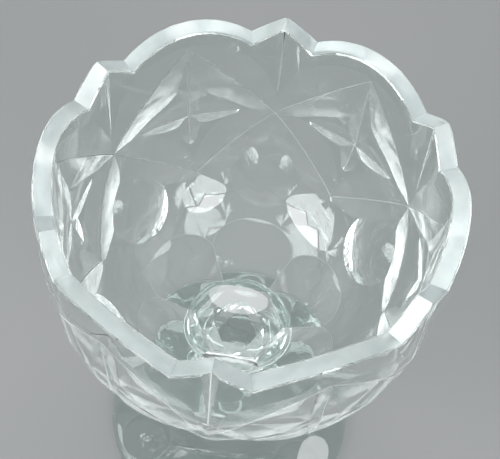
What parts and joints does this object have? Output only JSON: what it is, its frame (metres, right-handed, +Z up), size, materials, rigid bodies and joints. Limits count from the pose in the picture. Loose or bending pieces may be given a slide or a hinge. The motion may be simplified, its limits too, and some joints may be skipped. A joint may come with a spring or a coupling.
{
  "type": "cut-glass sweetmeat glass",
  "caption": "Stemmed cut-crystal sweetmeat glass: a deep bowl with a scalloped rim, mitre-cut diamonds and stars, a faceted stem and a round foot.",
  "frame": {"origin": "middle of the foot's underside, on the surface that the glass stands on", "axes": "+Z up along the stem; +Y towards one pointed gable of the rim"},
  "size_m": [0.1148, 0.1152, 0.164],
  "materials": {
    "crystal": "polished clear lead crystal with a faint grey-green tint"
  },
  "bodies": {
    "root": {"foot": "crystal", "lower_collar": "crystal", "stem": "crystal", "knop": "crystal", "upper_collar": "crystal", "bowl": "crystal"}
  },
  "joints": []
}
